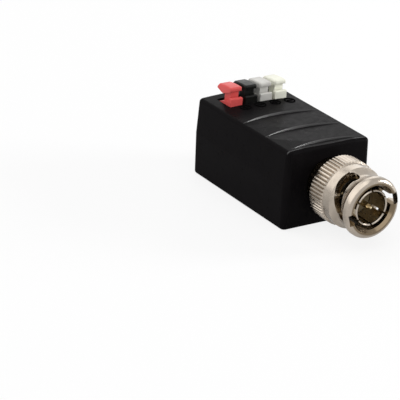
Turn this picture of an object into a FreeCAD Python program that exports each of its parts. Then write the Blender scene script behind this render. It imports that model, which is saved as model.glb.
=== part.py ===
# Balun adapter: a moulded two-part case with a bayonet coaxial plug on one end
# and a row of four push-lever wire terminals let into its top at the other end.
# Millimetres. +Z is up, the plug points along -Y, and the origin lies under the
# middle of the whole part, on the plane that the case stands on.
import FreeCAD, Part
import math
import os

V = FreeCAD.Vector

# How far a cutter runs past what it cuts, and how far joined solids overlap
overrun = 1.0
overlap = 0.1

# Case
case_width = 22.0
case_length = 35.8
case_height = 18.3
crown_rise = 0.45
case_wall = 1.6
roof_thickness = 1.6
corner_radius = 1.4
least_corner = 0.3
top_edge_radius = 0.9
bottom_edge_radius = 0.6
upper_draft = 0.042
lower_draft = 0.03
lap_height = 1.2
lap_thickness = 0.75
lap_clearance = 0.06
bead_radius = 0.25
bead_height = 0.6

# Grip steps across the top
grip_count = 3
grip_depth = 0.5
grip_first = 3.0
grip_to_terminal = 7.4
grip_sagitta = 1.5
grip_half_width = 10.0
grip_lean = 0.15
grip_brow = 0.25
grip_brow_lift = 0.02

# Bayonet plug: the reach is measured forward from the front of the case, and a
# setback is measured back from the nut's mouth
plug_axis_z = 9.8
plug_reach = 16.1
shank_radius = 5.4
shank_clearance = 0.06
flange_size = 12.4
flange_thickness = 1.7
hub_radius = 4.4
collar_rear = 5.9
collar_thickness = 2.0
collar_radius = 6.08
nose_length = 0.4
dielectric_radius = 3.5
dielectric_setback = 6.1
contact_radius = 4.05
contact_wall = 0.45
contact_edge = 0.15
contact_step = 0.2
press_gap = 0.02
contact_rear = 5.0
contact_setback = 0.7
finger_count = 6
finger_slot = 0.45
finger_length = 5.8
finger_turn = 34.0
pin_radius = 0.675
pin_setback = 1.0
pin_cone = 0.9
pin_tip_radius = 0.225
pin_root_radius = 0.9
pin_tail_radius = 0.6
tail_length = 3.0
leg_width = 1.4
leg_thickness = 0.9
upper_leg_x = 3.75
lower_leg_x = 2.4
seal_thickness = 0.8
seal_play = 0.05

# Coupling nut
nut_rear = 3.0
knurl_radius = 7.25
knurl_front = 7.5
knurl_chamfer = 0.35
knurl_count = 56
knurl_depth = 0.36
knurl_groove_share = 0.8
band_radius = 6.88
band_setback = 6.4
neck_radius = 5.92
neck_setback = 4.8
neck_length = 0.8
lip_radius = 6.75
lip_length = 1.7
lip_round = 1.1
lip_bulge = 0.3
shoulder_sag = 0.14
nut_bore = 4.9
mouth_radius = 5.4
mouth_depth = 0.7
chamber_radius = 6.16
rear_lip_radius = 6.15
rear_lip = 0.3
keeper_radius = 6.45
keeper_thickness = 0.85
washer_thickness = 0.45
washer_gap = 0.04
spring_thickness = 0.22
nut_play = 0.05
slot_width = 2.25
slot_setback = 5.25
slot_rise = 1.85
slot_curve = 1.35
slot_start = 110.0
slot_level_end = 135.0
slot_rise_end = 205.0
keyway_angle = 196.0
keyway_window_setback = 1.8
seat_forward = 0.3
seat_ease = 0.05
track_sections = 6
keyway_width = 2.6
keyway_radius = 6.25

# Circuit board
board_thickness = 1.6
board_clearance = 0.4
post_radius = 1.6
peg_radius = 0.75
peg_clearance = 0.1
peg_rise = 0.9
post_inset = 2.0
rib_thickness = 1.2
rib_clearance = 0.1

# Terminal row
pole_names = ("red", "black", "grey", "white")
pole_pitch = 3.96
pole_gap = 0.06
pole_width = 3.1
row_depth = 8.1
row_rear_setback = 0.5
row_clearance = 0.12
front_wall_rise = 2.1
front_wall_depth = 0.65
notch_depth = 0.8
notch_at = 1.2
shoulder_length = 4.6
pocket_rear = 5.4
pole_wall = 0.5
cavity_front = 0.8
cavity_rear = 5.2
cavity_roof = 1.4
cavity_floor = 1.2
wire_bore_radius = 1.0
wire_bore_drop = 5.3
funnel_depth = 0.5
funnel_radius = 1.35

# Push levers, measured from the row's front face and from the deck
lever_travel = 1.0
stem_width = 2.2
stem_front = 1.1
stem_rear = 3.2
slot_play = 0.1
pad_front = 0.45
pad_rear = 5.6
pad_under = 3.5
pad_top_front = 4.4
pad_top_rear = 4.1
pad_tip_under = 3.0
pad_corner = 0.55
pad_crown = 0.15
heel_reach = 0.5
pad_edge_radius = 0.38
lobe_radius = 0.28
heel_depth = 1.1
foot_bottom = 2.6
foot_top = 1.5
foot_overhang = 0.8

# Clamp springs and contacts
strip_width = 2.2
strip_thickness = 0.3
strip_gap = 0.05
strip_inset = 0.3
strip_bend = 1.0
strip_tip_rise = 0.2
bar_thickness = 0.5
bar_width = 1.6
bar_clearance = 0.1
solder_pin_width = 0.7
solder_pin_at = 2.4
solder_pin_below = 1.0
solder_hole_radius = 0.62

# Parts on the board
core_radius = 4.4
core_bore = 2.3
core_height = 3.4
core_clearance = 0.35
winding_thickness = 0.45
winding_gap_angle = 50.0
part_gap = 0.8
suppressor_size = (4.3, 2.6, 2.3)
suppressor_bevel = 0.35
capacitor_radius = 2.2
capacitor_thickness = 2.2
capacitor_edge_radius = 0.5
capacitor_lead = 0.6
lead_radius = 0.25
lead_spacing = 2.5
resistor_size = (1.6, 3.2, 0.6)
resistor_inset = 0.4

# Derived places, with y = 0 on the front of the case
deck_z = case_height - crown_rise
ceiling_z = deck_z - roof_thickness
clear_above = 2 * case_height
parting_z = plug_axis_z
board_top = plug_axis_z - pin_tail_radius
board_bottom = board_top - board_thickness
flange_front = case_wall + rib_clearance
rib_front = flange_front + flange_thickness + rib_clearance
hub_rear = rib_front + rib_thickness + board_clearance
board_front = hub_rear
board_rear = case_length - case_wall - board_clearance
board_half = case_width / 2 - case_wall - board_clearance
row_front = case_length - row_rear_setback - row_depth
row_half = pole_pitch * (len(pole_names) - 1) / 2 + pole_width / 2
dielectric_front = plug_reach - dielectric_setback
contact_front = plug_reach - contact_setback
pin_front = plug_reach - pin_setback
band_front = plug_reach - band_setback
neck_rear = plug_reach - neck_setback
neck_front = neck_rear + neck_length
lip_rear = plug_reach - lip_length
slot_at = plug_reach - slot_setback
keyway_window = plug_reach - keyway_window_setback
collar_front = collar_rear + collar_thickness
nose_front = collar_front + nose_length
seal_front = nose_front + seal_thickness
contact_rear_radius = contact_radius - contact_step
contact_bore = contact_radius - contact_wall
chamber_front = collar_front + nut_play
keeper_front = nut_rear + rear_lip + keeper_thickness
washer_front = keeper_front + washer_gap + washer_thickness
core_y = board_front + tail_length + core_clearance + winding_thickness + core_radius
bay_y = (core_y + core_radius + winding_thickness + row_front) / 2
origin_shift = V(0, (plug_reach - case_length) / 2, 0)


def block(x0, x1, y0, y1, z0, z1):
    """Box between two corners."""
    return Part.makeBox(x1 - x0, y1 - y0, z1 - z0, V(x0, y0, z0))


def rod_y(radius, y0, y1, x=0.0, z=plug_axis_z):
    """Cylinder along Y."""
    return Part.makeCylinder(radius, y1 - y0, V(x, y0, z), V(0, 1, 0))


def rod_z(radius, x, y, z0, z1):
    """Upright cylinder."""
    return Part.makeCylinder(radius, z1 - z0, V(x, y, z0))


def turned(profile):
    """Solid turned about the plug's axis from (forward, radius) points."""
    points = [V(radius, -forward, plug_axis_z) for forward, radius in profile]
    face = Part.Face(Part.makePolygon(points + points[:1]))
    return face.revolve(V(0, 0, plug_axis_z), V(0, 1, 0), 360)


def side_cut(points, x0, x1):
    """Solid pushed out along X from a profile of (y, z) points."""
    corners = [V(x0, y, z) for y, z in points]
    face = Part.Face(Part.makePolygon(corners + corners[:1]))
    return face.extrude(V(x1 - x0, 0, 0))


def round_plug_axis(shape, angle):
    """Copy turned about the plug's axis, counter-clockwise seen from its mouth."""
    turned_copy = shape.copy()
    turned_copy.rotate(V(0, 0, plug_axis_z), V(0, -1, 0), angle)
    return turned_copy


def rounded_outline(inset, z):
    """Outline of the case at one height, drawn in by an inset on every side."""
    x = case_width / 2 - inset
    y0, y1 = inset, case_length - inset
    r = max(corner_radius - inset, least_corner)
    k = r * (1 - math.sqrt(0.5))
    corners = (
        (V(x - r, y0, z), V(x - k, y0 + k, z), V(x, y0 + r, z)),
        (V(x, y1 - r, z), V(x - k, y1 - k, z), V(x - r, y1, z)),
        (V(-x + r, y1, z), V(-x + k, y1 - k, z), V(-x, y1 - r, z)),
        (V(-x, y0 + r, z), V(-x + k, y0 + k, z), V(-x + r, y0, z)),
    )
    edges = []
    for index, corner in enumerate(corners):
        edges.append(Part.Arc(*corner).toShape())
        following = corners[(index + 1) % len(corners)]
        edges.append(Part.LineSegment(corner[2], following[0]).toShape())
    return Part.Wire(edges)


def drafted(z0, z1, draft, inset):
    """Case-shaped block that narrows away from the parting plane."""
    outlines = [rounded_outline(inset + draft * abs(z - parting_z), z) for z in (z0, z1)]
    return Part.makeLoft(outlines, True, True)


def crowned(block_shape, drop=0.0):
    """Trims a block to the gentle arch of the roof."""
    half = case_width / 2
    radius = (half * half + crown_rise * crown_rise) / (2 * crown_rise)
    arch = rod_y(radius, -overrun, case_length + overrun, z=case_height - radius)
    arch.translate(V(0, 0, -drop))
    return block_shape.common(arch)


def grip_cutter(apex, run):
    """Step with a rounded brow on an arc, over a ramp that rises towards the front."""
    radius = (grip_half_width**2 + grip_sagitta**2) / (2 * grip_sagitta)
    low = case_height - 2 * grip_depth
    above = case_height + grip_depth
    behind = apex + grip_depth
    ramp = side_cut(
        [
            (behind, case_height - grip_depth),
            (behind, above),
            (apex - run, above),
            (apex - run, case_height),
            (apex, case_height - grip_depth),
        ],
        -case_width / 2,
        case_width / 2,
    )
    brow = block(
        -case_width / 2 - overrun,
        case_width / 2 + overrun,
        apex - run,
        behind + grip_depth,
        low,
        above,
    )
    lean = grip_lean / grip_depth
    scoop = Part.makeCone(
        radius - lean * (grip_depth + overrun),
        radius + lean * (2 * grip_depth + overrun),
        above - low + 2 * overrun,
        V(0, apex - radius, low - overrun),
    )
    brow = brow.cut(scoop)
    brow = crowned(brow, -grip_brow_lift)
    edges = [
        edge
        for edge in brow.Edges
        if edge.BoundBox.YMax < apex + grip_lean + grip_brow
        and edge.BoundBox.ZMin > low + grip_brow
        and edge.BoundBox.XLength > grip_half_width / 2
    ]
    return ramp.cut(brow.makeFillet(grip_brow, edges))


def grip_cutters():
    """Steps spaced evenly between the front edge and the terminal row."""
    pitch = (row_front - grip_to_terminal - grip_first) / (grip_count - 1)
    cutters = []
    for index in range(grip_count):
        run = pitch if index else grip_first
        cutters.append(grip_cutter(grip_first + index * pitch, run))
    return cutters


def edges_in_band(shape, z0, z1):
    """Edges that lie wholly between two heights."""
    return [e for e in shape.Edges if e.BoundBox.ZMin > z0 and e.BoundBox.ZMax < z1]


def snap_beads(clearance):
    """Two long beads that click the case together."""
    z = parting_z + bead_height
    x = case_width / 2 - case_wall + lap_thickness - bead_radius / 2
    radius = bead_radius + clearance
    end = case_length / 4 - clearance
    return [rod_y(radius, end, case_length - end, side * x, z) for side in (-1, 1)]


def post_places():
    """Corners of the board, where it sits on posts."""
    x = board_half - post_inset
    return [
        (side * x, y)
        for side in (-1, 1)
        for y in (board_front + post_inset, row_front - post_inset)
    ]


def plug_passage():
    """Room for the plug's shank, its square flange and its hub."""
    reach = shank_radius + shank_clearance
    half = flange_size / 2 + rib_clearance
    flange_room = block(
        -half,
        half,
        case_wall,
        rib_front,
        plug_axis_z - half,
        plug_axis_z + half,
    )
    hub_room = rod_y(hub_radius + shank_clearance, rib_front - overrun, hub_rear)
    shank_room = rod_y(reach, -overrun, case_wall + rib_clearance)
    return [shank_room, flange_room, hub_room]


def row_window():
    """Opening in the rear wall that shows the wire holes."""
    half = row_half + row_clearance + (pole_pitch - pole_gap - pole_width) / 2
    return block(
        -half,
        half,
        case_length - case_wall - overrun,
        case_length + overrun,
        board_top - row_clearance,
        ceiling_z,
    )


def row_pocket():
    """Opening in the roof that the terminal row rises through."""
    half = row_half + row_clearance
    return block(
        -half,
        half,
        row_front - row_clearance,
        row_front + pocket_rear,
        ceiling_z - overrun,
        case_height + overrun,
    )


def upper_shell():
    """Lid of the case: arched roof, grip steps and the opening for the terminals."""
    shell = crowned(drafted(parting_z, case_height + overrun, upper_draft, 0))
    roof_edges = edges_in_band(shell, deck_z - overrun, case_height + overrun)
    shell = shell.makeFillet(top_edge_radius, roof_edges)
    room = drafted(parting_z, ceiling_z, upper_draft, case_wall)
    recess = drafted(
        parting_z,
        parting_z + lap_height + lap_clearance,
        0,
        case_wall - lap_thickness - lap_clearance,
    )
    rib = block(
        -board_half,
        board_half,
        rib_front,
        rib_front + rib_thickness,
        parting_z + lap_height + lap_clearance,
        ceiling_z,
    )
    shell = shell.cut([room, recess])
    posts = [
        rod_z(peg_radius + peg_clearance, x, y, board_top + peg_rise, ceiling_z)
        for x, y in post_places()
    ]
    shell = shell.fuse([rib] + posts)
    cutters = plug_passage() + [row_window(), row_pocket()]
    cutters += snap_beads(lap_clearance) + grip_cutters()
    return shell.cut(cutters).removeSplitter()


def lower_shell():
    """Tray of the case: board posts, plug saddle and the lap that locates the lid."""
    shell = drafted(parting_z, 0, lower_draft, 0)
    shell = shell.makeFillet(bottom_edge_radius, edges_in_band(shell, -overrun, overlap))
    room = drafted(parting_z, case_wall, lower_draft, case_wall)
    lap = drafted(parting_z, parting_z + lap_height, 0, case_wall - lap_thickness)
    lap = lap.cut(drafted(parting_z, parting_z + lap_height, 0, case_wall))
    rib = block(
        -board_half,
        board_half,
        rib_front,
        rib_front + rib_thickness,
        case_wall / 2,
        parting_z,
    )
    shell = shell.cut(room)
    supports = []
    for x, y in post_places():
        supports.append(rod_z(post_radius, x, y, case_wall / 2, board_bottom))
        supports.append(rod_z(peg_radius, x, y, board_bottom, board_top + peg_rise))
    shell = shell.fuse([lap, rib] + snap_beads(0) + supports)
    return shell.cut(plug_passage() + [row_window()]).removeSplitter()


def circuit_board():
    """Board that carries the plug's tail, the coil and the terminal row."""
    board = block(-board_half, board_half, board_front, board_rear, board_bottom, board_top)
    holes = [
        rod_z(peg_radius + peg_clearance, x, y, board_bottom, board_top)
        for x, y in post_places()
    ]
    holes += [
        rod_z(solder_hole_radius, x, row_front + solder_pin_at, board_bottom, board_top)
        for x in pole_places()
    ]
    return board.cut(holes)


def plug_body():
    """Turned body: square flange, shank, collar and nose, with two solder legs."""
    body = turned(
        [
            (-hub_rear, dielectric_radius + press_gap),
            (-hub_rear, hub_radius),
            (-flange_front, hub_radius),
            (-flange_front, shank_radius),
            (collar_rear, shank_radius),
            (collar_rear, collar_radius),
            (collar_front, collar_radius),
            (collar_front, nut_bore - shank_clearance),
            (nose_front, nut_bore - shank_clearance),
            (nose_front, contact_rear_radius + press_gap),
            (contact_rear, contact_rear_radius + press_gap),
            (contact_rear, dielectric_radius + press_gap),
        ]
    )
    half = flange_size / 2
    flange = block(
        -half,
        half,
        flange_front,
        flange_front + flange_thickness,
        plug_axis_z - half,
        plug_axis_z + half,
    )
    flange = flange.cut(rod_y(hub_radius - overlap, flange_front - overrun, hub_rear))
    legs = []
    for side in (-1, 1):
        for spread, z in (
            (upper_leg_x, board_top),
            (lower_leg_x, board_bottom - leg_thickness),
        ):
            x = side * spread
            legs.append(
                block(
                    x - leg_width / 2,
                    x + leg_width / 2,
                    hub_rear - board_clearance / 2,
                    hub_rear + tail_length,
                    z,
                    z + leg_thickness,
                )
            )
    bore = rod_y(dielectric_radius + press_gap, flange_front, hub_rear)
    return body.fuse([flange] + legs).cut(bore).removeSplitter()


def outer_contact():
    """Springy sleeve split into fingers."""
    edge = contact_edge
    sleeve = turned(
        [
            (contact_rear, contact_bore),
            (contact_rear, contact_rear_radius),
            (seal_front + seal_play, contact_rear_radius),
            (seal_front + seal_play, contact_radius),
            (contact_front - edge, contact_radius),
            (contact_front, contact_radius - edge),
            (contact_front, contact_bore + edge),
            (contact_front - edge, contact_bore),
        ]
    )
    cutter = block(
        0,
        contact_radius + overrun,
        -contact_front - overrun,
        -contact_front + finger_length,
        plug_axis_z - finger_slot / 2,
        plug_axis_z + finger_slot / 2,
    )
    turn = 360.0 / finger_count
    slots = [round_plug_axis(cutter, finger_turn + turn * i) for i in range(finger_count)]
    return sleeve.cut(slots)


def dielectric():
    """Insulator between the sleeve and the centre pin."""
    bore = pin_root_radius + press_gap
    return turned(
        [
            (-hub_rear, bore),
            (-hub_rear, dielectric_radius),
            (dielectric_front, dielectric_radius),
            (dielectric_front, bore),
        ]
    )


def centre_pin():
    """Centre contact with a tapered tip and a tail that lies on the board."""
    return turned(
        [
            (-hub_rear - tail_length, 0),
            (-hub_rear - tail_length, pin_tail_radius),
            (-hub_rear, pin_tail_radius),
            (-hub_rear, pin_root_radius),
            (dielectric_front, pin_root_radius),
            (dielectric_front, pin_radius),
            (pin_front - pin_cone, pin_radius),
            (pin_front, pin_tip_radius),
            (pin_front, 0),
        ]
    )


def seal_ring():
    """Rubber ring that the mating socket presses on."""
    outer = nut_bore - seal_play
    inner = contact_rear_radius + press_gap
    return turned(
        [
            (nose_front, inner),
            (nose_front, outer),
            (seal_front, outer),
            (seal_front, inner),
        ]
    )


def nut_blank():
    """Turned blank of the coupling nut, bored for the collar and the socket."""
    lip_front = plug_reach - lip_round
    outer = [
        V(rear_lip_radius, -nut_rear, plug_axis_z),
        V(knurl_radius - knurl_chamfer, -nut_rear, plug_axis_z),
        V(knurl_radius, -nut_rear - knurl_chamfer, plug_axis_z),
        V(knurl_radius, -knurl_front + knurl_chamfer, plug_axis_z),
        V(band_radius, -knurl_front, plug_axis_z),
        V(band_radius, -band_front, plug_axis_z),
    ]
    shoulder = V(
        (band_radius + neck_radius) / 2 - shoulder_sag,
        -(band_front + neck_rear) / 2,
        plug_axis_z,
    )
    neck = V(neck_radius, -neck_rear, plug_axis_z)
    neck_end = V(neck_radius, -neck_front, plug_axis_z)
    flare = V(
        (neck_radius + lip_radius) / 2 - shoulder_sag,
        -(neck_front + lip_rear) / 2,
        plug_axis_z,
    )
    lip_start = V(lip_radius, -lip_rear, plug_axis_z)
    lip_end = V(lip_radius, -lip_front, plug_axis_z)
    lip_corner = V(lip_radius - lip_bulge, -plug_reach + lip_bulge, plug_axis_z)
    mouth = V(mouth_radius, -plug_reach, plug_axis_z)
    inner = [
        mouth,
        V(nut_bore, -plug_reach + mouth_depth, plug_axis_z),
        V(nut_bore, -chamber_front, plug_axis_z),
        V(chamber_radius, -chamber_front, plug_axis_z),
        V(chamber_radius, -keeper_front, plug_axis_z),
        V(keeper_radius, -keeper_front, plug_axis_z),
        V(keeper_radius, -nut_rear - rear_lip, plug_axis_z),
        V(rear_lip_radius, -nut_rear - rear_lip, plug_axis_z),
        outer[0],
    ]
    edges = [Part.LineSegment(a, b).toShape() for a, b in zip(outer, outer[1:])]
    edges.append(Part.Arc(outer[-1], shoulder, neck).toShape())
    edges.append(Part.LineSegment(neck, neck_end).toShape())
    edges.append(Part.Arc(neck_end, flare, lip_start).toShape())
    edges.append(Part.LineSegment(lip_start, lip_end).toShape())
    edges.append(Part.Arc(lip_end, lip_corner, mouth).toShape())
    edges += [Part.LineSegment(a, b).toShape() for a, b in zip(inner, inner[1:])]
    face = Part.Face(Part.Wire(edges))
    return face.revolve(V(0, 0, plug_axis_z), V(0, 1, 0), 360)


def knurl_grooves():
    """Straight knurl: one V groove, copied round the rear of the nut."""
    half = math.pi * knurl_radius / knurl_count * knurl_groove_share
    top = knurl_radius + overlap
    rear = overrun - nut_rear
    points = [
        V(top, rear, plug_axis_z - half),
        V(top, rear, plug_axis_z + half),
        V(knurl_radius - knurl_depth, rear, plug_axis_z),
    ]
    face = Part.Face(Part.makePolygon(points + points[:1]))
    groove = face.extrude(V(0, -knurl_front - rear, 0))
    step = 360.0 / knurl_count
    return [round_plug_axis(groove, step * i) for i in range(knurl_count)]


def slot_point(turn, radius):
    """Place on the bayonet track at a turn in degrees."""
    share = max(0.0, (turn - slot_level_end) / (slot_rise_end - slot_level_end))
    forward = slot_at + slot_rise * share**slot_curve
    angle = math.radians(turn)
    return V(radius * math.cos(angle), -forward, plug_axis_z + radius * math.sin(angle))


def bayonet_track():
    """Cutter for one bayonet track: keyway, rising slot and the seat at its end."""
    middle = (nut_bore + band_radius) / 2
    reach = band_radius - nut_bore + 2 * overrun
    sections = []
    for index in range(track_sections + 1):
        turn = slot_start + (keyway_angle - slot_start) * index / track_sections
        inner = slot_point(turn, middle - reach / 2)
        outer = slot_point(turn, middle + reach / 2)
        half = V(0, slot_width / 2, 0)
        corners = [outer + half, inner + half, inner - half, outer - half]
        sections.append(Part.makePolygon(corners + corners[:1]))
    track = Part.makeLoft(sections, True, False)
    direction = slot_point(slot_start, 1) - slot_point(slot_start, 0)
    base = slot_point(slot_start, middle - reach / 2) - V(0, seat_forward, 0)
    seat = Part.makeCylinder(slot_width / 2 + seat_ease, reach, base, direction)
    keys = []
    for reach, front in (
        (keyway_radius, plug_reach + overrun),
        (band_radius + overrun, keyway_window),
    ):
        key = block(
            0,
            reach,
            -front,
            -slot_at - slot_rise / 2,
            plug_axis_z - keyway_width / 2,
            plug_axis_z + keyway_width / 2,
        )
        keys.append(round_plug_axis(key, keyway_angle))
    return [track, seat] + keys


def coupling_nut():
    """Bayonet nut: knurled grip, two tracks half a turn apart and a flared lip."""
    nut = nut_blank().cut(knurl_grooves())
    for cutter in bayonet_track():
        nut = nut.cut([cutter, round_plug_axis(cutter, 180)])
    return nut


def keeper_ring():
    """Ring rolled into the nut's rear, which the spring pushes on."""
    rear = nut_rear + rear_lip
    bore = shank_radius + shank_clearance
    return turned(
        [
            (rear, bore),
            (rear, keeper_radius),
            (keeper_front, keeper_radius),
            (keeper_front, bore),
        ]
    )


def thrust_washer():
    """Flat washer between the keeper ring and the spring."""
    rear = keeper_front + washer_gap
    bore = shank_radius + shank_clearance
    outer = chamber_radius - shank_clearance
    return turned(
        [(rear, bore), (rear, outer), (washer_front, outer), (washer_front, bore)]
    )


def spring_washer():
    """Coned spring washer that draws the nut back."""
    bore = shank_radius + shank_clearance
    outer = chamber_radius - shank_clearance
    front = collar_rear
    rear = washer_front
    return turned(
        [
            (front - spring_thickness, bore),
            (rear, outer),
            (rear + spring_thickness, outer),
            (front, bore),
        ]
    )


def pole_places():
    """Middles of the poles along X."""
    middle = (len(pole_names) - 1) / 2
    return [(index - middle) * pole_pitch for index in range(len(pole_names))]


def terminal_base(x):
    """Moulded pole: raised front wall, side shoulders, lever slot and wire hole."""
    floor = board_top - deck_z
    top_rear = ceiling_z - row_clearance - deck_z
    body = side_cut(
        [
            (row_front, board_top),
            (row_front, ceiling_z - row_clearance),
            (row_front + row_depth, ceiling_z - row_clearance),
            (row_front + row_depth, board_top),
        ],
        x - (pole_pitch - pole_gap) / 2,
        x + (pole_pitch - pole_gap) / 2,
    )
    crest = [
        (0, top_rear),
        (0, front_wall_rise),
        (front_wall_depth, front_wall_rise),
        (notch_at, front_wall_rise - notch_depth),
        (shoulder_length, overlap),
        (shoulder_length, top_rear),
    ]
    points = [(row_front + y, deck_z + z) for y, z in crest]
    raised = side_cut(points, x - pole_width / 2, x + pole_width / 2)
    crest_edges = edges_in_band(raised, deck_z + front_wall_rise - lobe_radius, clear_above)
    raised = raised.makeFillet(lobe_radius, crest_edges)
    room_half = (pole_pitch - pole_gap) / 2 - pole_wall
    room = block(
        x - room_half,
        x + room_half,
        row_front + cavity_front,
        row_front + cavity_rear,
        deck_z + floor + cavity_floor,
        deck_z - cavity_roof,
    )
    slot = block(
        x - stem_width / 2 - slot_play,
        x + stem_width / 2 + slot_play,
        row_front + stem_front - slot_play,
        row_front + stem_rear + slot_play,
        deck_z - cavity_roof - overrun,
        deck_z + front_wall_rise,
    )
    bore_z = deck_z - wire_bore_drop
    rear = row_front + row_depth
    bore_front = row_front + cavity_rear - overlap
    bore = rod_y(wire_bore_radius, bore_front, rear, x, bore_z)
    funnel = Part.makeCone(
        wire_bore_radius,
        funnel_radius,
        funnel_depth,
        V(x, rear - funnel_depth, bore_z),
        V(0, 1, 0),
    )
    pin_hole = rod_z(
        solder_hole_radius,
        x,
        row_front + solder_pin_at,
        board_top - overrun,
        board_top + cavity_floor + overlap,
    )
    return body.fuse(raised).cut([room, slot, bore, funnel, pin_hole]).removeSplitter()


def pad_profile(x):
    """Side of the lever's pad, with a crowned top."""
    def at(y, z):
        return V(x, row_front + y, deck_z + z)

    crest_y = (pad_front + pad_rear - pad_corner) / 2
    crest_z = (pad_top_front + pad_top_rear) / 2 + pad_crown
    top = Part.Arc(
        at(pad_front, pad_top_front),
        at(crest_y, crest_z),
        at(pad_rear - pad_corner, pad_top_rear),
    )
    heel = pad_under - heel_depth
    outline = [
        at(pad_rear - pad_corner, pad_top_rear),
        at(pad_rear, pad_top_rear - pad_corner),
        at(pad_rear, pad_tip_under),
        at(stem_rear + heel_reach, heel),
        at(stem_rear, heel),
        at(pad_front, pad_under),
        at(pad_front, pad_top_front),
    ]
    edges = [top.toShape()]
    edges += [Part.LineSegment(a, b).toShape() for a, b in zip(outline, outline[1:])]
    return Part.Face(Part.Wire(edges))


def push_lever(x):
    """T-shaped lever: a broad pad on a stem, with a foot that opens the clamp."""
    pad = pad_profile(x - pole_width / 2).extrude(V(pole_width, 0, 0))
    pad_edges = edges_in_band(pad, deck_z + pad_tip_under, clear_above)
    pad = pad.makeFillet(pad_edge_radius, pad_edges)
    stem = side_cut(
        [
            (row_front + y, deck_z + z)
            for y, z in (
                (stem_front, -foot_top),
                (stem_front, pad_under + overlap),
                (stem_rear, pad_under),
                (stem_rear, -foot_top),
            )
        ],
        x - stem_width / 2,
        x + stem_width / 2,
    )
    foot = side_cut(
        [
            (row_front + y, deck_z + z)
            for y, z in (
                (stem_front, -foot_top),
                (stem_rear + foot_overhang, -foot_top),
                (stem_rear, -foot_bottom),
                (stem_front + foot_overhang, -foot_bottom),
            )
        ],
        x - stem_width / 2,
        x + stem_width / 2,
    )
    return pad.fuse([stem, foot]).removeSplitter()


def clamp_spring(x):
    """Bent steel strip that grips the wire, under the lever's foot."""
    floor = board_top + cavity_floor + bar_thickness - deck_z
    crest = -foot_bottom - strip_gap
    front = cavity_front + strip_inset
    rear = cavity_rear - strip_inset
    tip = strip_tip_rise - wire_bore_drop
    t = strip_thickness
    outline = [
        (front, floor),
        (front, crest - strip_bend),
        (front + strip_bend, crest),
        (stem_rear, crest),
        (rear, tip),
        (rear - t, tip),
        (stem_rear - t / 2, crest - t),
        (front + strip_bend + t / 2, crest - t),
        (front + t, crest - strip_bend - t / 2),
        (front + t, floor),
    ]
    points = [(row_front + y, deck_z + z) for y, z in outline]
    return side_cut(points, x - strip_width / 2, x + strip_width / 2)


def contact_bar(x):
    """Tinned bar that the wire is pressed on, with its solder pin."""
    base = board_top + cavity_floor
    bar = block(
        x - bar_width / 2,
        x + bar_width / 2,
        row_front + cavity_front + bar_clearance,
        row_front + cavity_rear - bar_clearance,
        base,
        base + bar_thickness,
    )
    half = solder_pin_width / 2
    y = row_front + solder_pin_at
    pin = block(x - half, x + half, y - half, y + half, board_bottom - solder_pin_below, base)
    return bar.fuse(pin).removeSplitter()


def balun_core():
    """Ferrite ring that lies on the board in its winding."""
    z0 = board_top + winding_thickness
    ring = rod_z(core_radius, 0, core_y, z0, z0 + core_height)
    return ring.cut(rod_z(core_bore, 0, core_y, z0, z0 + core_height))


def balun_winding():
    """Copper layer wound on the ring, open where the two ends leave it."""
    t = winding_thickness
    z0, z1 = board_top, board_top + core_height + 2 * t
    profile = [
        V(core_bore - t, core_y, z0),
        V(core_radius + t, core_y, z0),
        V(core_radius + t, core_y, z1),
        V(core_bore - t, core_y, z1),
    ]
    face = Part.Face(Part.makePolygon(profile + profile[:1]))
    centre = V(0, core_y, 0)
    layer = face.revolve(centre, V(0, 0, 1), 360 - winding_gap_angle)
    layer.rotate(centre, V(0, 0, 1), winding_gap_angle / 2)
    return layer.cut(balun_core())


def surge_suppressor():
    """Moulded diode that clips surges."""
    width, length, height = suppressor_size
    body = block(
        -part_gap / 2 - width,
        -part_gap / 2,
        bay_y - length / 2,
        bay_y + length / 2,
        board_top,
        board_top + height,
    )
    upper_edges = edges_in_band(body, board_top + height / 2, clear_above)
    return body.makeChamfer(suppressor_bevel, upper_edges)


def disc_capacitor():
    """Disc capacitor on edge, with its two leads through the dip coat."""
    x = part_gap / 2 + capacitor_radius
    z = board_top + capacitor_lead + capacitor_radius
    half = capacitor_thickness / 2
    disc = rod_y(capacitor_radius, bay_y - half, bay_y + half, x, z)
    rims = [edge for edge in disc.Edges if len(edge.Vertexes) == 1]
    disc = disc.makeFillet(capacitor_edge_radius, rims)
    leads = [
        rod_z(lead_radius, x + side * lead_spacing / 2, bay_y, board_top, z)
        for side in (-1, 1)
    ]
    return disc.fuse(leads).removeSplitter()


def chip_resistors():
    """Two chip resistors beside the coil, near the edges of the board."""
    width, length, height = resistor_size
    edge = board_half - resistor_inset
    chips = [
        block(
            x,
            x + width,
            core_y - length / 2,
            core_y + length / 2,
            board_top,
            board_top + height,
        )
        for x in (-edge, edge - width)
    ]
    return Part.makeCompound(chips)


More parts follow.
